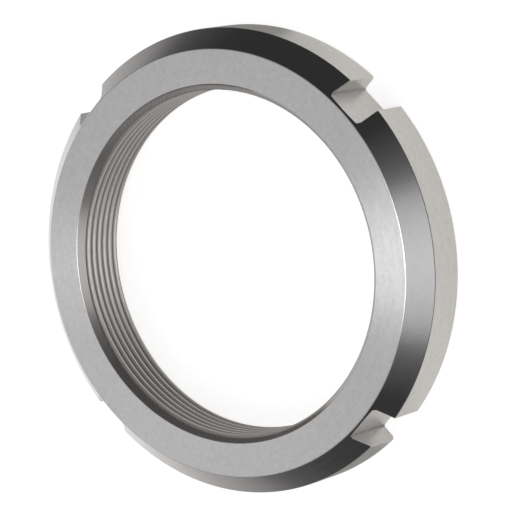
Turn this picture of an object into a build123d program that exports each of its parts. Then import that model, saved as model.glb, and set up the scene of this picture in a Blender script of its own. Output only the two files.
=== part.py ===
"""Bearing lock nut: a slotted round nut that holds a rolling bearing on its shaft.

Units are millimetres. +Z runs along the thread axis, from the plain rear face
at Z = 0 to the chamfered clamping face. The origin is the middle of the rear face.
"""

import os

from build123d import *

# Thread, right-handed and metric fine. The bore is modelled at its crest diameter.
thread_diameter = 80.0
thread_pitch = 2.0
crest_drop_per_pitch = 1.0825

# Body
outer_diameter = 105.0
nut_width = 15.0

# Wide chamfer between the clamping face and the outer diameter
clamping_face_diameter = 96.0
chamfer_height = 4.9

# Small edge break round the rear face
rear_edge_break = 0.7

# Lead-in chamfers at both mouths of the thread, at 45 degrees
bore_mouth_clearance = 0.8

# Spanner slots, milled along the axis, with rounded corners at the floor
slot_count = 4
slot_width = 9.1
slot_depth = 4.1
slot_corner_radius = 0.5

crest_radius = (thread_diameter - crest_drop_per_pitch * thread_pitch) / 2
mouth_radius = (thread_diameter + bore_mouth_clearance) / 2
mouth_chamfer = mouth_radius - crest_radius
outer_radius = outer_diameter / 2
face_radius = clamping_face_diameter / 2
slot_floor_radius = outer_radius - slot_depth
slot_cutter_length = slot_depth + 2 * slot_corner_radius

os.makedirs("parts", exist_ok=True)

with BuildPart() as lock_nut:
    # The ring is one turned section, from the bore out to the outer diameter
    with BuildSketch(Plane.XZ):
        with BuildLine():
            Polyline(
                (crest_radius, mouth_chamfer),
                (mouth_radius, 0),
                (outer_radius - rear_edge_break, 0),
                (outer_radius, rear_edge_break),
                (outer_radius, nut_width - chamfer_height),
                (face_radius, nut_width),
                (mouth_radius, nut_width),
                (crest_radius, nut_width - mouth_chamfer),
                close=True,
            )
        make_face()
    revolve(axis=Axis.Z)

    # Each slot is a cutter with rounded corners, whose outer pair runs clear of the metal
    with BuildSketch(Plane.XY):
        with PolarLocations(slot_floor_radius, slot_count):
            RectangleRounded(
                slot_cutter_length,
                slot_width,
                slot_corner_radius,
                align=(Align.MIN, Align.CENTER),
            )
    extrude(amount=nut_width, mode=Mode.SUBTRACT)

lock_nut.part.label = "lock_nut"
export_step(lock_nut.part, "parts/lock_nut.step")
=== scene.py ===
"""A slotted round lock nut, turned from bare steel, threaded and lit on a white table.

Lengths are metres unless a name ends in _mm. +Z is the thread axis, and the nut lies on
its plain rear face at Z = 0 with the chamfered clamping face upwards.
"""
import logging
import math
from dataclasses import dataclass, field
from enum import Enum
from typing import Any, Iterable, Optional, Union

import bmesh
import bpy
from mathutils import Matrix, Quaternion, Vector
from mathutils.geometry import intersect_point_line


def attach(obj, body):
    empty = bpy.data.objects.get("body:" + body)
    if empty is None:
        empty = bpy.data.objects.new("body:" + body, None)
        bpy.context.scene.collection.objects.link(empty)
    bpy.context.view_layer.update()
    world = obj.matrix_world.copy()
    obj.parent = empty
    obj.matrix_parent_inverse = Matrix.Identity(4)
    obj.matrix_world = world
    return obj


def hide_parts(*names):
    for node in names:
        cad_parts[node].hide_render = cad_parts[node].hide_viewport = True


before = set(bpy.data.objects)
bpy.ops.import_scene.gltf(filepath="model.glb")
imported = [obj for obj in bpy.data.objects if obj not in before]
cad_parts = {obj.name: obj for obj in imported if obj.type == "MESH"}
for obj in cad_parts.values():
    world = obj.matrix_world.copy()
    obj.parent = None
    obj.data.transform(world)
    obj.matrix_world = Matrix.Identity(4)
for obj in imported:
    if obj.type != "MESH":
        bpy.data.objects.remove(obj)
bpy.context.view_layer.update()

LOG = logging.getLogger("lock_nut")

MM = 0.001
FULL_TURN = 2 * math.pi
QUARTER_DEGREES = 90.0
WELD = 1e-6

# Finer octaves of the two noises, and the length over which a milled mark changes
MARK_DETAIL = 3.0
PATCH_DETAIL = 2.0
MILLED_RUN = 10 * MM

# The shader's rotation runs from 0 to 1, so this turns its reflections by a quarter
QUARTER_ROTATION = 0.25

Span = tuple[float, float]
Point = tuple[float, float, float]
Stops = tuple[tuple[float, float], ...]


class Zone(Enum):
    """The machined surfaces of the nut, each with a finish of its own."""

    FACE = 0
    CHAMFER = 1
    RIM = 2
    SLOT = 3
    MOUTH = 4
    THREAD = 5
    REAR = 6


class Lay(Enum):
    """The direction across which a surface's tool marks repeat."""

    RADIUS = "radius"
    HEIGHT = "height"
    SLOPE = "slope"
    MILLED = "milled"


class Wire:
    """A shader socket that takes part in arithmetic."""

    def __init__(self, graph: "Graph", socket: bpy.types.NodeSocket) -> None:
        """Keeps the socket and the graph that it belongs to.

        Args:
            graph: The node graph that holds the socket.
            socket: The output socket to wrap.
        """
        self.graph = graph
        self.socket = socket

    def __add__(self, other: "Term") -> "Wire":
        """Adds a term.

        Args:
            other: The term to add.

        Returns:
            self + other.
        """
        return self.graph.math("ADD", self, other)

    __radd__ = __add__

    def __mul__(self, other: "Term") -> "Wire":
        """Multiplies by a term.

        Args:
            other: The factor.

        Returns:
            self * other.
        """
        return self.graph.math("MULTIPLY", self, other)

    __rmul__ = __mul__

    def __sub__(self, other: "Term") -> "Wire":
        """Takes a term away.

        Args:
            other: The term to take away.

        Returns:
            self - other.
        """
        return self.graph.math("SUBTRACT", self, other)

    def __rsub__(self, other: "Term") -> "Wire":
        """Takes this value away from a term.

        Args:
            other: The term that it is taken from.

        Returns:
            other - self.
        """
        return self.graph.math("SUBTRACT", other, self)

    def __truediv__(self, other: "Term") -> "Wire":
        """Divides by a term.

        Args:
            other: The divisor.

        Returns:
            self / other.
        """
        return self.graph.math("DIVIDE", self, other)

    def swing(self, amount: float) -> "Wire":
        """Spreads a value between 0 and 1 evenly to both sides of 0.

        Args:
            amount: The largest result.

        Returns:
            A value between -amount and amount.
        """
        return (self - 0.5) * (2 * amount)


Term = Union[Wire, float]


class Graph:
    """Adds nodes to one node tree."""

    def __init__(self, tree: bpy.types.NodeTree) -> None:
        """Empties the tree and keeps it.

        Args:
            tree: The node tree of a material or of the world.
        """
        tree.nodes.clear()
        self.tree = tree

    def node(
        self,
        kind: str,
        settings: Optional[dict[str, Any]] = None,
        inputs: Optional[dict[Union[str, int], Any]] = None,
    ) -> bpy.types.Node:
        """Adds one node.

        Args:
            kind: The node's type name.
            settings: Properties set before the sockets. "stops" fills a colour ramp.
            inputs: A value or a Wire for each named or numbered input socket.

        Returns:
            The new node.
        """
        made = self.tree.nodes.new(kind)
        for name, value in (settings or {}).items():
            if name == "stops":
                self._fill_ramp(made.color_ramp, value)
            else:
                setattr(made, name, value)
        for name, value in (inputs or {}).items():
            if isinstance(value, Wire):
                self.tree.links.new(value.socket, made.inputs[name])
            else:
                made.inputs[name].default_value = value
        return made

    def wire(self, output: str, kind: str, settings: Any = None, inputs: Any = None) -> Wire:
        """Adds one node and wraps one of its outputs.

        Args:
            output: The name of the output socket.
            kind: The node's type name.
            settings: As in node.
            inputs: As in node.

        Returns:
            The wrapped output.
        """
        return Wire(self, self.node(kind, settings, inputs).outputs[output])

    def wires(self, outputs: Iterable[str], kind: str, inputs: Any = None) -> list[Wire]:
        """Adds one node and wraps several of its outputs.

        Args:
            outputs: The names of the output sockets.
            kind: The node's type name.
            inputs: As in node.

        Returns:
            The wrapped outputs, in the order asked for.
        """
        made = self.node(kind, None, inputs)
        return [Wire(self, made.outputs[name]) for name in outputs]

    def math(self, operation: str, *terms: Term) -> Wire:
        """Adds a Math node.

        Args:
            operation: The operation's name.
            terms: Its one to three operands.

        Returns:
            The result.
        """
        return self.wire("Value", "ShaderNodeMath", {"operation": operation}, dict(enumerate(terms)))

    def vector(self, x: Term, y: Term, z: Term) -> Wire:
        """Joins three components.

        Args:
            x: The first component.
            y: The second component.
            z: The third component.

        Returns:
            The vector.
        """
        return self.wire("Vector", "ShaderNodeCombineXYZ", None, {"X": x, "Y": y, "Z": z})

    def dot(self, place: Wire, way: Vector) -> Wire:
        """Measures how far a place lies along a direction.

        Args:
            place: The place, as a vector.
            way: The direction, as a unit vector.

        Returns:
            The distance from the origin along the direction.
        """
        return self.wire(
            "Value", "ShaderNodeVectorMath", {"operation": "DOT_PRODUCT"}, {0: place, 1: way}
        )

    def ramp(self, value: Wire, stops: Stops) -> Wire:
        """Reads a grey level off a ramp.

        Args:
            value: Where on the ramp, from 0 to 1.
            stops: Position and grey level of each stop, in order.

        Returns:
            The level.
        """
        return self.wire("Color", "ShaderNodeValToRGB", {"stops": stops}, {"Fac": value})

    def noise(self, place: Wire, scale: float, detail: float) -> Wire:
        """Noise between 0 and 1.

        Args:
            place: The vector at which it is read.
            scale: Cycles per unit of that vector.
            detail: Number of finer octaves.

        Returns:
            The noise value.
        """
        return self.wire(
            "Fac", "ShaderNodeTexNoise", None, {"Vector": place, "Scale": scale, "Detail": detail}
        )

    def smooth(self, value: Wire, start: float, end: float, low: float = 0.0) -> Wire:
        """A smooth step that rises to 1.

        Args:
            value: What the step depends on.
            start: The value at which the step begins.
            end: The value at which it reaches 1.
            low: The level before the step.

        Returns:
            The level.
        """
        return self.wire(
            "Result",
            "ShaderNodeMapRange",
            {"interpolation_type": "SMOOTHSTEP"},
            {"Value": value, "From Min": start, "From Max": end, "To Min": low},
        )

    @staticmethod
    def _fill_ramp(ramp: bpy.types.ColorRamp, stops: Stops) -> None:
        """Gives a ramp its stops.

        Args:
            ramp: The ramp to fill.
            stops: Position and grey level of each stop, in order.
        """
        while len(ramp.elements) < len(stops):
            ramp.elements.new(1.0)
        for element, (place, level) in zip(ramp.elements, stops):
            element.position = place
            element.color = (level, level, level, 1.0)


@dataclass(frozen=True)
class Steel:
    """Bare machined steel with the marks that its tool left.

    Attributes:
        name: The material's name.
        colour: The steel's own colour.
        roughness: Its mean roughness.
        lay: The direction across which the marks repeat.
        marks_per_mm: How closely the marks stand.
        mark_depth_mm: How deep they look.
        sharpness: How far the marks stretch a reflection, from 0 to 1.
        mottle: How strongly the patches change the colour.
        mark_tint: How strongly the marks change the colour.
        mark_gloss: How strongly the marks change the roughness.
        mottle_mm: The size of a patch.
        around: How quickly a mark changes along its own length.
        metal: How metallic the surface is, from 0 to 1.
        glancing: The brightness of reflections at grazing angles.
        painted_shade: How dark the painted shade in grooves and inner corners is where it is full.
        painted_shade_mm: Where the painted shade begins and where it is full.
    """

    name: str
    colour: tuple[float, float, float]
    roughness: float
    lay: Lay
    marks_per_mm: float
    mark_depth_mm: float
    sharpness: float = 0.0
    mottle: float = 0.03
    mark_tint: float = 0.03
    mark_gloss: float = 0.05
    mottle_mm: float = 9.0
    around: float = 1.5
    metal: float = 1.0
    glancing: float = 1.0
    painted_shade: float = 0.0
    painted_shade_mm: Span = (0.0, 1.0)

    def material(self) -> bpy.types.Material:
        """Makes the material.

        Returns:
            A material whose marks follow the lay.
        """
        made = bpy.data.materials.new(self.name)
        made.use_nodes = True
        graph = Graph(made.node_tree)
        place = graph.wire("Object", "ShaderNodeTexCoord")
        marks = graph.noise(self._mark_space(graph, place), 1.0, MARK_DETAIL)
        patches = graph.noise(place, 1 / (self.mottle_mm * MM), PATCH_DETAIL)
        tone = 1 + marks.swing(self.mark_tint) + patches.swing(self.mottle)
        # Painted shade: the colour darkens towards the roots of grooves and into inner corners,
        # where shade falls
        if self.painted_shade:
            tone = tone * (1 - self._painted_shade_share(graph, place) * self.painted_shade)
        shade = graph.wire(
            "Vector",
            "ShaderNodeVectorMath",
            {"operation": "SCALE"},
            {0: self.colour, "Scale": tone},
        )
        bump = graph.wire(
            "Normal",
            "ShaderNodeBump",
            None,
            {"Strength": 1.0, "Distance": self.mark_depth_mm * MM, "Height": marks},
        )
        shader = graph.wire(
            "BSDF",
            "ShaderNodeBsdfPrincipled",
            None,
            {
                "Base Color": shade,
                "Metallic": self.metal,
                "Roughness": self.roughness + marks.swing(self.mark_gloss),
                "Anisotropic": self.sharpness,
                "Anisotropic Rotation": QUARTER_ROTATION,
                "Specular Tint": (self.glancing, self.glancing, self.glancing, 1.0),
                "Normal": bump,
            },
        )
        graph.node("ShaderNodeOutputMaterial", None, {"Surface": shader})
        return made

    def _painted_shade_share(self, graph: Graph, place: Wire) -> Wire:
        """The share of painted shade, darker towards the roots of grooves and into inner corners,
        where shade falls.

        Args:
            graph: The material's graph.
            place: Object coordinates in metres.

        Returns:
            0 where no shade is painted and 1 where the painted shade is full.
        """
        x, y = graph.wires("XY", "ShaderNodeSeparateXYZ", {"Vector": place})
        if self.lay is Lay.MILLED:
            sides = [graph.math("ABSOLUTE", part) for part in (x, y)]
            depth = graph.math("MINIMUM", *sides) - graph.math("MAXIMUM", *sides)
        else:
            depth = graph.math("SQRT", x * x + y * y)
        unshaded, full = (edge * MM for edge in self.painted_shade_mm)
        return graph.smooth(depth, unshaded, full)

    def _mark_space(self, graph: Graph, place: Wire) -> Wire:
        """The space in which the marks are even noise.

        Args:
            graph: The material's graph.
            place: Object coordinates in metres.

        Returns:
            A vector that changes fast across the marks and slowly along them.
        """
        x, y, z = graph.wires("XYZ", "ShaderNodeSeparateXYZ", {"Vector": place})
        rate = self.marks_per_mm / MM
        if self.lay is Lay.MILLED:
            return graph.vector(x * rate, y * rate, z * (self.around / MILLED_RUN))
        radius = graph.math("SQRT", x * x + y * y)
        across = {Lay.RADIUS: radius, Lay.HEIGHT: z, Lay.SLOPE: radius - z}[self.lay]
        return graph.vector(x / radius * self.around, y / radius * self.around, across * rate)


FINISHES: dict[Zone, Steel] = {
    Zone.FACE: Steel(
        "turned_face", (0.492, 0.484, 0.489), 0.30, Lay.RADIUS, 2.0, 0.004, 0.93,
        mottle=0.13, mark_tint=0.08, mottle_mm=0.9, around=8.0,
    ),
    Zone.CHAMFER: Steel(
        "smooth_chamfer", (0.53, 0.525, 0.53), 0.17, Lay.SLOPE, 2.0, 0.001, 0.3,
        mottle=0.05, mottle_mm=1.5, around=6.0,
    ),
    Zone.RIM: Steel(
        "ground_rim", (0.585, 0.58, 0.563), 0.36, Lay.HEIGHT, 2.0, 0.004, 0.4,
        mottle=0.12, mark_tint=0.08, mottle_mm=1.0, around=9.0,
    ),
    Zone.SLOT: Steel(
        "milled_slot", (0.56, 0.555, 0.545), 0.34, Lay.MILLED, 2.5, 0.004,
        # Painted shade in the inner corners of the slots
        mottle=0.12, mark_tint=0.12, mottle_mm=1.2, painted_shade=0.55, painted_shade_mm=(-44.45, -44.1),
    ),
    Zone.MOUTH: Steel(
        "mouth_chamfer", (0.545, 0.52, 0.505), 0.12, Lay.SLOPE, 5.0, 0.002, 0.5, metal=0.82,
        glancing=0.55,
    ),
    Zone.THREAD: Steel(
        "cut_thread", (0.435, 0.42, 0.407), 0.42, Lay.HEIGHT, 6.0, 0.003, 0.5,
        # Painted shade at the roots of the thread's grooves
        painted_shade=0.22, painted_shade_mm=(39.0, 39.7),
    ),
    Zone.REAR: Steel("turned_rear", (0.53, 0.525, 0.53), 0.32, Lay.RADIUS, 4.0, 0.005, 0.8),
}


def new_piece(name: str, work: bmesh.types.BMesh) -> bpy.types.Object:
    """Makes an object of a finished bmesh and frees the bmesh.

    Args:
        name: The object's name.
        work: The bmesh to store.

    Returns:
        The object, linked to the scene, at the origin.
    """
    mesh = bpy.data.meshes.new(name)
    work.to_mesh(mesh)
    work.free()
    piece = bpy.data.objects.new(name, mesh)
    bpy.context.scene.collection.objects.link(piece)
    return piece


def verts_of(items: Iterable[Any]) -> list[bmesh.types.BMVert]:
    """Picks the vertices out of what a bmesh operator gives back.

    Args:
        items: Vertices, edges and faces together.

    Returns:
        The vertices alone, in the same order.
    """
    return [item for item in items if isinstance(item, bmesh.types.BMVert)]


def carve(body: bpy.types.Object, cutter: bpy.types.Object) -> None:
    """Takes the cutter's volume out of the body and deletes the cutter.

    Args:
        body: The object that is cut, whose mesh is replaced.
        cutter: A closed object, deleted afterwards.
    """
    cut = body.modifiers.new("cut", "BOOLEAN")
    cut.operation = "DIFFERENCE"
    cut.solver = "EXACT"
    cut.object = cutter
    graph = bpy.context.evaluated_depsgraph_get()
    whole = bpy.data.meshes.new_from_object(body.evaluated_get(graph), depsgraph=graph)
    body.modifiers.remove(cut)
    spent = body.data
    body.data = whole
    bpy.data.meshes.remove(spent)
    bpy.data.objects.remove(cutter)


@dataclass
class LockNut:
    """The nut: a turned ring, four milled slots and a tapped bore.

    Attributes:
        outer_radius: The rim's radius.
        width: The height of the nut as it lies.
        face_radius: The clamping face's outer radius.
        chamfer_height: The height of the wide chamfer.
        rear_break: The size of the chamfer round the rear face.
        thread_radius: The thread's radius at its root.
        thread_pitch: The thread's rise in one turn.
        crest_radius: The thread's radius at its crest.
        mouth_radius: The radius of the lead-in chamfers at both faces.
        slot_count: The number of spanner slots.
        slot_width: The width of a slot.
        slot_depth: Its depth below the rim.
        slot_corner: The radius of its inner corners.
        face_edge_break: The edge break where the clamping face meets the wide chamfer.
        rim_edge_break: The edge break where the wide chamfer meets the rim.
        turned_edge_break: The break of the other turned edges.
        slot_edge_break: The break of the slots' edges.
        sliver: How far beyond the clamping face the slots' edges stay sharp.
        break_segments: The steps across an edge break.
        corner_segments: The steps round a slot's inner corner.
        ring_steps: The steps round the ring.
        thread_steps: The steps in one turn of the thread.
        overrun: How far the cutters run past the nut.
        core_clearance: How far inside the crest the tap's core stays.
        flank_angle: The angle of a thread flank.
        root_share: Half the width of the root's flat, as a share of the pitch.
        thread_start: The angle at which the tap starts.
        crease_angle: The angle above which an edge is shaded sharp.
        normal_weight: How strongly large faces set the shading, from 1 to 100.
        materials: The finishes, in the order of the zones.
    """

    outer_radius: float = 52.5 * MM
    width: float = 15.0 * MM
    face_radius: float = 48.0 * MM
    chamfer_height: float = 4.9 * MM
    rear_break: float = 0.7 * MM
    thread_radius: float = 40.0 * MM
    thread_pitch: float = 2.0 * MM
    crest_radius: float = 38.9175 * MM
    mouth_radius: float = 40.4 * MM
    slot_count: int = 4
    slot_width: float = 9.1 * MM
    slot_depth: float = 4.1 * MM
    slot_corner: float = 0.5 * MM
    face_edge_break: float = 0.2 * MM
    rim_edge_break: float = 0.22 * MM
    turned_edge_break: float = 0.12 * MM
    slot_edge_break: float = 0.28 * MM
    sliver: float = 1.0 * MM
    break_segments: int = 4
    corner_segments: int = 6
    ring_steps: int = 240
    thread_steps: int = 192
    overrun: float = 4.0 * MM
    core_clearance: float = 0.3 * MM
    flank_angle: float = math.radians(30)
    root_share: float = 1 / 16
    thread_start: float = math.radians(57)
    crease_angle: float = math.radians(40)
    normal_weight: int = 100
    materials: list[bpy.types.Material] = field(default_factory=list)

    def build(self) -> bpy.types.Object:
        """Makes the whole nut.

        Returns:
            The nut's object, dressed.
        """
        self.materials = [FINISHES[zone].material() for zone in Zone]
        nut = self._object("lock_nut_steel", self._ring())
        carve(nut, self._object("slot_cutter", self._slot_cutter()))
        self._break_edges(nut)
        carve(nut, self._object("tap", self._tap()))
        self._shade(nut)
        return nut

    def _object(self, name: str, work: bmesh.types.BMesh) -> bpy.types.Object:
        """Makes an object that carries the nut's list of materials.

        Args:
            name: The object's name.
            work: Its bmesh.

        Returns:
            The object.
        """
        piece = new_piece(name, work)
        for material in self.materials:
            piece.data.materials.append(material)
        return piece

    def _ring(self) -> bmesh.types.BMesh:
        """Turns the plain ring from its section.

        Returns:
            A closed ring with its turned edges broken.
        """
        drop = self.mouth_radius - self.crest_radius
        small = self.turned_edge_break
        # Radius, height, zone of the side that follows and edge break of each corner
        corners = [
            (self.crest_radius, drop, Zone.MOUTH, 0.0),
            (self.mouth_radius, 0.0, Zone.REAR, small),
            (self.outer_radius - self.rear_break, 0.0, Zone.RIM, small),
            (self.outer_radius, self.rear_break, Zone.RIM, small),
            (self.outer_radius, self.width - self.chamfer_height, Zone.CHAMFER, self.rim_edge_break),
            (self.face_radius, self.width, Zone.FACE, self.face_edge_break),
            (self.mouth_radius, self.width, Zone.MOUTH, small),
            (self.crest_radius, self.width - drop, Zone.THREAD, 0.0),
        ]
        work = bmesh.new()
        points = [work.verts.new((radius, 0.0, height)) for radius, height, _, _ in corners]
        work.faces.new(points)
        for point, (_, _, _, size) in zip(points, corners):
            if size:
                bmesh.ops.bevel(
                    work,
                    geom=[point],
                    offset=size,
                    affect="VERTICES",
                    segments=self.break_segments,
                    profile=0.5,
                    material=-1,
                )
        bmesh.ops.delete(work, geom=work.faces[:], context="FACES_ONLY")
        bmesh.ops.spin(
            work,
            geom=work.verts[:] + work.edges[:],
            cent=(0, 0, 0),
            axis=(0, 0, 1),
            angle=FULL_TURN,
            steps=self.ring_steps,
            use_merge=True,
        )
        bmesh.ops.remove_doubles(work, verts=work.verts, dist=WELD)
        bmesh.ops.recalc_face_normals(work, faces=work.faces)
        sides = [
            (Vector(first[:2]), Vector(last[:2]), first[2])
            for first, last in zip(corners, corners[1:] + corners[:1])
        ]
        for face in work.faces:
            face.material_index = self._zone_of(face, sides).value
        return work

    @staticmethod
    def _zone_of(face: bmesh.types.BMFace, sides: list[tuple[Vector, Vector, Zone]]) -> Zone:
        """Finds the side of the section that a face of the ring was turned from.

        Args:
            face: A face of the plain ring.
            sides: The two ends, as radius and height, and the zone of each side.

        Returns:
            The zone of the side that lies nearest the face's middle.
        """
        middle = face.calc_center_median()
        place = Vector((middle.xy.length, middle.z))

        def distance(side: tuple[Vector, Vector, Zone]) -> float:
            """Measures from the face's middle to one side.

            Args:
                side: The side's two ends and its zone.

            Returns:
                The distance to its line plus how far past its ends the nearest point lies.
            """
            start, end, _ = side
            nearest, share = intersect_point_line(place, start, end)
            return (nearest - place).length + max(0.0, share - 1.0, -share) * (end - start).length

        return min(sides, key=distance)[2]

    def _slot_cutter(self) -> bmesh.types.BMesh:
        """Makes the milling cutters' paths, one for each slot.

        Returns:
            Bars with rounded inner corners that run past both faces.
        """
        floor = self.outer_radius - self.slot_depth
        reach = self.outer_radius + self.overrun
        half = self.slot_width / 2
        work = bmesh.new()
        outline = [(floor, -half), (reach, -half), (reach, half), (floor, half)]
        corners = [work.verts.new((x, y, -self.overrun)) for x, y in outline]
        work.faces.new(corners)
        bmesh.ops.bevel(
            work,
            geom=[corners[0], corners[3]],
            offset=self.slot_corner,
            affect="VERTICES",
            segments=self.corner_segments,
            profile=0.5,
            material=-1,
        )
        raised = bmesh.ops.extrude_face_region(work, geom=work.faces[:])["geom"]
        height = self.width + 2 * self.overrun
        bmesh.ops.translate(work, verts=verts_of(raised), vec=(0, 0, height))
        first = work.verts[:] + work.edges[:] + work.faces[:]
        for index in range(1, self.slot_count):
            copy = bmesh.ops.duplicate(work, geom=first)["geom"]
            turn = Matrix.Rotation(FULL_TURN * index / self.slot_count, 3, "Z")
            bmesh.ops.rotate(work, verts=verts_of(copy), cent=(0, 0, 0), matrix=turn)
        bmesh.ops.recalc_face_normals(work, faces=work.faces)
        for face in work.faces:
            face.material_index = Zone.SLOT.value
        return work

    def _break_edges(self, nut: bpy.types.Object) -> None:
        """Takes the sharpness off the edges of the slots.

        Args:
            nut: The ring with its slots.
        """
        work = bmesh.new()
        work.from_mesh(nut.data)
        bmesh.ops.remove_doubles(work, verts=work.verts, dist=WELD)
        bmesh.ops.bevel(
            work,
            geom=[edge for edge in work.edges if self._is_slot_edge(edge)],
            offset=self.slot_edge_break,
            offset_type="OFFSET",
            affect="EDGES",
            segments=self.break_segments,
            profile=0.5,
            material=-1,
            clamp_overlap=False,
        )
        bmesh.ops.recalc_face_normals(work, faces=work.faces)
        work.to_mesh(nut.data)
        work.free()

    def _is_slot_edge(self, edge: bmesh.types.BMEdge) -> bool:
        """Tells whether a slot meets the turned ring at an edge, away from the thin sliver.

        Args:
            edge: An edge of the ring with its slots.

        Returns:
            True where the edge is to be broken.
        """
        if not edge.is_manifold:
            return False
        milled = [face.material_index == Zone.SLOT.value for face in edge.link_faces]
        middle = (edge.verts[0].co + edge.verts[1].co) / 2
        thin = middle.z > self.width / 2 and middle.xy.length < self.face_radius + self.sliver
        return milled[0] != milled[1] and not thin

    def _tap(self) -> bmesh.types.BMesh:
        """Makes the tap that cuts the right-handed thread.

        Returns:
            A closed screw with the thread's full form, longer than the nut.
        """
        core = self.crest_radius - self.core_clearance
        root = self.thread_pitch * self.root_share
        middle = self.thread_pitch / 2
        flank = (self.thread_radius - core) * math.tan(self.flank_angle)
        turns = math.ceil((self.width + 2 * self.overrun) / self.thread_pitch)
        start = (self.width - turns * self.thread_pitch) / 2
        tooth = [
            (core, 0.0),
            (core, middle - root - flank),
            (self.thread_radius, middle - root),
            (self.thread_radius, middle + root),
            (core, middle + root + flank),
            (core, self.thread_pitch),
        ]
        work = bmesh.new()
        points = [work.verts.new((radius, 0.0, start + height)) for radius, height in tooth]
        edges = [work.edges.new(pair) for pair in zip(points, points[1:])]
        end = bmesh.ops.spin(
            work,
            geom=points + edges,
            cent=(0, 0, 0),
            axis=(0, 0, 1),
            dvec=(0, 0, self.thread_pitch / self.thread_steps),
            angle=FULL_TURN * turns,
            steps=self.thread_steps * turns,
            use_merge=False,
        )["geom_last"]
        # Both ends of the groove close on the core
        for tip in points + verts_of(end):
            tip.co.xy = tip.co.xy.normalized() * core
        bmesh.ops.remove_doubles(work, verts=work.verts, dist=WELD)
        self._cap(work, start - self.overrun, False)
        self._cap(work, self.width - start + self.overrun, True)
        turn = Matrix.Rotation(self.thread_start, 3, "Z")
        bmesh.ops.rotate(work, verts=work.verts, cent=(0, 0, 0), matrix=turn)
        bmesh.ops.recalc_face_normals(work, faces=work.faces)
        if work.calc_volume(signed=True) < 0:
            bmesh.ops.reverse_faces(work, faces=work.faces)
        for face in work.faces:
            face.material_index = Zone.THREAD.value
        return work

    def _cap(self, work: bmesh.types.BMesh, height: float, top: bool) -> None:
        """Closes one end of the tap with a short neck and a flat end.

        Args:
            work: The tap's open screw.
            height: The height of the flat end.
            top: Which end is closed.
        """
        rim = [
            edge
            for edge in work.edges
            if edge.is_boundary and (edge.verts[0].co.z > self.width / 2) is top
        ]
        neck = verts_of(bmesh.ops.extrude_edge_only(work, edges=rim)["geom"])
        for vert in neck:
            vert.co.z = height
        bmesh.ops.remove_doubles(work, verts=neck, dist=WELD)
        bmesh.ops.dissolve_degenerate(work, dist=WELD, edges=work.edges)
        open_rim = [
            edge
            for edge in work.edges
            if edge.is_boundary and abs(edge.verts[0].co.z - height) < WELD
        ]
        bmesh.ops.holes_fill(work, edges=open_rim, sides=0)

    def _shade(self, nut: bpy.types.Object) -> None:
        """Smooths the turned surfaces and keeps the thread's edges crisp.

        Args:
            nut: The finished shape.
        """
        mesh = nut.data
        for polygon in mesh.polygons:
            polygon.use_smooth = True
        mesh.set_sharp_from_angle(angle=self.crease_angle)
        weigh = nut.modifiers.new("weighted_normals", "WEIGHTED_NORMAL")
        weigh.keep_sharp = True
        weigh.weight = self.normal_weight


@dataclass(frozen=True)
class Glow:
    """Light of the studio that fades with the angle from one direction.

    Attributes:
        azimuth: The direction's azimuth in degrees.
        elevation: Its elevation in degrees.
        stops: The level at each share, where the share is 0 opposite the direction and 1 at it.
    """

    azimuth: float
    elevation: float
    stops: Stops


@dataclass(frozen=True)
class Panel:
    """A square soft panel that shows only in the steel.

    Attributes:
        name: The lamp's name.
        place: The panel's middle.
        aim: The point it faces.
        size: The length of its side.
        level: Its brightness.
        spread: The angle over which it shines.
    """

    name: str
    place: Point
    aim: Point
    size: float
    level: float
    spread: float


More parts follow.
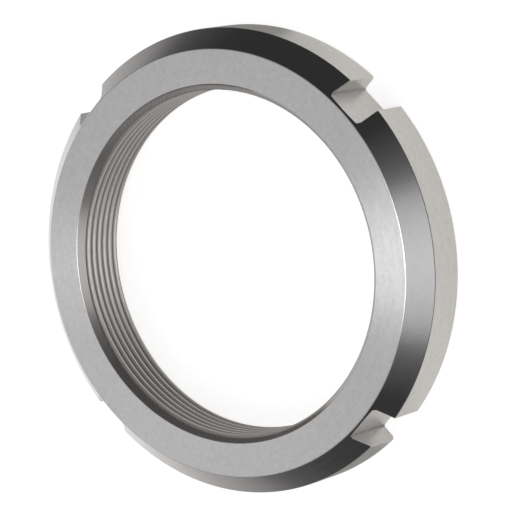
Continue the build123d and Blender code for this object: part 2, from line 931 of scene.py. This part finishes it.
@dataclass
class Studio:
    """The white table, the soft light and the camera.

    The table's painted light and shade are measured from the nut's axis, along the strip and across
    it.

    Attributes:
        table_radius: The table's radius.
        table_sides: The number of its sides.
        table_colour: Its matt colour where the strip is full.
        table_white: The light that it gives the camera where the strip is full.
        table_glow: The light that it gives the steel where the strip is full.
        table_tint: The colour of that light.
        strip_azimuth: The azimuth in degrees along which the strip runs.
        strip_half: Half the width over which the strip's stops are spread.
        strip_stops: The strip's level from its middle outwards.
        strip_front: The places along the strip between which it rises to full.
        strip_dark: Its level before them.
        flank_across: The places across between which the shade beside the nut begins.
        flank_front: The places along between which it begins.
        flank_back: The places along between which it ends.
        flank_shade: How dark the painted shade beside the nut is.
        far_across: The places across between which the shade far out on one side begins.
        far_shade: How dark the painted shade far out is.
        sky: The bright back of the studio.
        window: The soft window.
        window_sill: The elevations in degrees between which the window begins.
        sweep: The low light behind the table.
        panels: The soft panels.
        view_azimuth: The camera's azimuth in degrees, counted from -Y.
        view_elevation: Its elevation in degrees.
        view_roll: Its roll in degrees.
        view_distance: Its distance from the point it looks at.
        view_aim: That point.
        lens_mm: Its focal length.
        sensor_mm: The width of its sensor.
        clip_start: The nearest distance that it shows.
    """

    table_radius: float = 0.6
    table_sides: int = 96
    table_colour: float = 0.85
    table_white: float = 0.7
    table_glow: float = 0.55
    table_tint: tuple[float, float, float] = (1.04, 1.0, 0.96)
    strip_azimuth: float = 147.0
    strip_half: float = 0.16
    strip_stops: Stops = (
        (0.0, 1.0),
        (0.25, 1.0),
        (0.29, 0.88),
        (0.375, 0.7),
        (0.44, 0.57),
        (0.55, 0.46),
        (0.65, 0.34),
        (0.8, 0.2),
        (1.0, 0.13),
    )
    strip_front: Span = (-0.095, -0.068)
    strip_dark: float = 0.1
    flank_across: Span = (0.041, 0.047)
    flank_front: Span = (-0.0255, -0.0205)
    flank_back: Span = (0.02, 0.045)
    flank_shade: float = 0.46
    far_across: Span = (0.08, 0.115)
    far_shade: float = 0.32
    sky: Glow = Glow(
        157.0,
        60.0,
        (
            (0.0, 0.05),
            (0.6, 0.055),
            (0.65, 0.11),
            (0.7, 0.21),
            (0.75, 0.35),
            (0.8, 0.5),
            (0.9, 0.85),
            (1.0, 1.0),
        ),
    )
    window: Glow = Glow(
        309.0,
        21.0,
        (
            (0.0, 0.0),
            (0.8, 0.0),
            (0.86, 0.08),
            (0.89, 0.13),
            (0.915, 0.22),
            (0.93, 0.36),
            (0.943, 0.6),
            (0.955, 0.82),
            (0.971, 0.98),
            (0.985, 1.12),
            (1.0, 1.28),
        ),
    )
    window_sill: Span = (8.0, 16.0)
    sweep: Glow = Glow(
        150.0,
        8.0,
        (
            (0.0, 0.0),
            (0.8, 0.0),
            (0.88, 0.08),
            (0.96, 0.31),
            (1.0, 0.38),
        ),
    )
    panels: tuple[Panel, ...] = (
        Panel(
            "panel",
            place=(0.0463, -0.0713, 0.25),
            aim=(0.034, -0.034, 0.015),
            size=0.15,
            level=0.41,
            spread=math.radians(44),
        ),
        Panel(
            "fill",
            place=(-0.14, 0.057, 0.16),
            aim=(-0.0435, -0.0069, 0.015),
            size=0.11,
            level=0.27,
            spread=math.pi,
        ),
    )
    view_azimuth: float = 57.045
    view_elevation: float = 54.803
    view_roll: float = -103.353
    view_distance: float = 0.68238
    view_aim: Point = (0.003833, -0.002836, 0.0075)
    lens_mm: float = 213.45
    sensor_mm: float = 36.0
    clip_start: float = 0.01

    def build(self) -> None:
        """Makes the table, the light and the camera."""
        self._table()
        self._sky()
        for panel in self.panels:
            self._hang(panel)
        self._camera()

    def _table(self) -> None:
        """Makes the round white table top that the nut lies on."""
        work = bmesh.new()
        bmesh.ops.create_circle(
            work, cap_ends=True, radius=self.table_radius, segments=self.table_sides
        )
        table = new_piece("table", work)
        table.data.materials.append(self._table_material())

    def _table_material(self) -> bpy.types.Material:
        """Makes the table's white, which the steel mirrors as a painted strip of light with painted
        shade.

        Returns:
            A material that is white to the camera and keeps the nut's shadow.
        """
        material = bpy.data.materials.new("white_table")
        material.use_nodes = True
        graph = Graph(material.node_tree)
        painted_light = self._strip(graph, graph.wire("Object", "ShaderNodeTexCoord"))
        # The matt colour and the glow both carry the painted strip of light and its painted shade,
        # with the painted shadow beside the nut
        grey = painted_light * self.table_colour
        matt = graph.wire(
            "BSDF", "ShaderNodeBsdfDiffuse", None, {"Color": graph.vector(grey, grey, grey)}
        )
        glossy, passing, camera = graph.wires(
            ("Is Glossy Ray", "Is Transmission Ray", "Is Camera Ray"), "ShaderNodeLightPath"
        )
        seen = camera * (1 - painted_light * (1 - self.table_white))
        strength = graph.math("MAXIMUM", glossy, passing) * painted_light * self.table_glow
        colour = graph.vector(*(strength * share + seen for share in self.table_tint))
        glow = graph.wire("Emission", "ShaderNodeEmission", None, {"Color": colour})
        both = graph.wire("Shader", "ShaderNodeAddShader", None, {0: matt, 1: glow})
        graph.node("ShaderNodeOutputMaterial", None, {"Surface": both})
        return material

    def _strip(self, graph: Graph, place: Wire) -> Wire:
        """Paints a strip of light on the table, with painted shade to both sides, at its near end,
        beside the nut and far out.

        Args:
            graph: The table's graph.
            place: Object coordinates in metres.

        Returns:
            1 where the painted light is full, and less where shade is painted.
        """
        across, along = (
            graph.dot(place, self._direction(azimuth, 0.0))
            for azimuth in (self.strip_azimuth + QUARTER_DEGREES, self.strip_azimuth)
        )
        aside = graph.math("ABSOLUTE", across)
        side = graph.ramp(aside / self.strip_half, self.strip_stops)
        front = graph.smooth(along, *self.strip_front, low=self.strip_dark)
        beside = graph.smooth(along, *self.flank_front) * (1 - graph.smooth(along, *self.flank_back))
        flank = graph.smooth(aside, *self.flank_across) * beside
        far = graph.smooth(across * -1.0, *self.far_across)
        return side * front * (1 - flank * self.flank_shade) * (1 - far * self.far_shade)

    def _sky(self) -> None:
        """Makes the studio: white to the camera, with a bright back, a low light and a window."""
        world = bpy.data.worlds.new("studio")
        world.use_nodes = True
        bpy.context.scene.world = world
        graph = Graph(world.node_tree)
        way = graph.wire("Generated", "ShaderNodeTexCoord")
        back, sweep, window = (
            self._glow(graph, way, glow) for glow in (self.sky, self.sweep, self.window)
        )
        (rise,) = graph.wires("Z", "ShaderNodeSeparateXYZ", {"Vector": way})
        low, high = (math.sin(math.radians(angle)) for angle in self.window_sill)
        camera, passing = graph.wires(
            ("Is Camera Ray", "Is Transmission Ray"), "ShaderNodeLightPath"
        )
        shown = graph.math("MAXIMUM", camera, passing)
        lit = back + sweep + window * graph.smooth(rise, low, high)
        level = graph.math("MAXIMUM", lit, shown)
        backdrop = graph.wire("Background", "ShaderNodeBackground", None, {"Strength": level})
        graph.node("ShaderNodeOutputWorld", None, {"Surface": backdrop})

    def _glow(self, graph: Graph, way: Wire, glow: Glow) -> Wire:
        """Reads one glow's level in the direction that is looked at.

        Args:
            graph: The world's graph.
            way: The direction that is looked at.
            glow: The glow.

        Returns:
            The level.
        """
        toward = graph.dot(way, self._direction(glow.azimuth, glow.elevation))
        return graph.ramp(toward * 0.5 + 0.5, glow.stops)

    @staticmethod
    def _hang(panel: Panel) -> None:
        """Hangs one soft panel.

        Args:
            panel: The panel.
        """
        lamp = bpy.data.lights.new(panel.name, "AREA")
        lamp.size = panel.size
        lamp.energy = panel.level * math.pi * panel.size * panel.size
        lamp.spread = panel.spread
        holder = bpy.data.objects.new(panel.name, lamp)
        bpy.context.scene.collection.objects.link(holder)
        holder.location = panel.place
        way = Vector(panel.aim) - Vector(panel.place)
        holder.rotation_euler = way.to_track_quat("-Z", "Y").to_euler()
        holder.visible_camera = False
        holder.visible_diffuse = False

    def _camera(self) -> None:
        """Places the camera at the photographed angle."""
        data = bpy.data.cameras.new("camera")
        data.sensor_width = self.sensor_mm
        data.lens = self.lens_mm
        data.clip_start = self.clip_start
        camera = bpy.data.objects.new("camera", data)
        bpy.context.scene.collection.objects.link(camera)
        toward = self._direction(self.view_azimuth - QUARTER_DEGREES, self.view_elevation)
        camera.location = Vector(self.view_aim) + toward * self.view_distance
        level = (-toward).to_track_quat("-Z", "Y")
        roll = Quaternion((0.0, 0.0, 1.0), math.radians(self.view_roll))
        camera.rotation_euler = (level @ roll).to_euler()
        bpy.context.scene.camera = camera

    @staticmethod
    def _direction(azimuth: float, elevation: float) -> Vector:
        """A unit vector.

        Args:
            azimuth: Degrees from +X towards +Y.
            elevation: Degrees above the table.

        Returns:
            The direction.
        """
        flat = math.cos(math.radians(elevation))
        rise = math.sin(math.radians(elevation))
        turn = math.radians(azimuth)
        return Vector((flat * math.cos(turn), flat * math.sin(turn), rise))


def main() -> None:
    """Builds the studio and the nut, and gives the nut its place in the frame."""
    logging.basicConfig(level=logging.INFO)
    bpy.context.scene.view_settings.view_transform = "Standard"
    Studio().build()
    nut = LockNut().build()
    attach(nut, "root")
    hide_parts("lock_nut")
    LOG.info("%s: %d faces", nut.name, len(nut.data.polygons))


if __name__ == "__main__":
    main()
